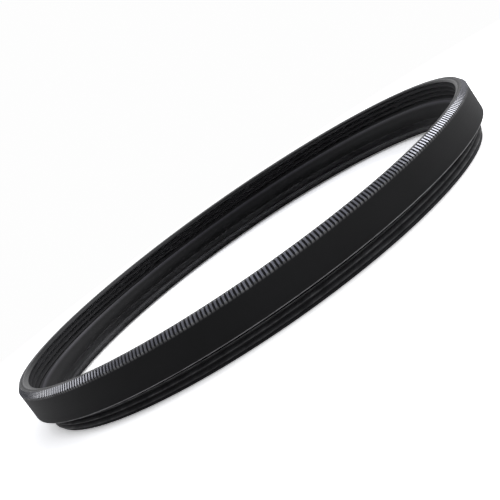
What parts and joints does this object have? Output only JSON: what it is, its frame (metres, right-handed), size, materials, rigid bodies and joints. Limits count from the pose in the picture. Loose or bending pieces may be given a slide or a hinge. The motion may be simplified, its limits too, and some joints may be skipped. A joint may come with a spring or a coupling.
{
  "type": "uv filter",
  "caption": "Round screw-in lens filter: black metal ring with a knurled front bevel, a thread at each end, and clear flat glass held by a retaining ring.",
  "frame": {"origin": "middle of the rear face, which the filter stands on, on the optical axis", "axes": "+Z along the optical axis from the rear thread towards the front; X and Y across the glass"},
  "size_m": [0.08, 0.08, 0.0076],
  "materials": {
    "frame": "satin black anodised",
    "glass": "polished and coated against reflections",
    "ring": "satin black anodised"
  },
  "bodies": {
    "root": {"filter_frame": "frame", "glass_disc": "glass", "retaining_ring": "ring"}
  },
  "joints": []
}
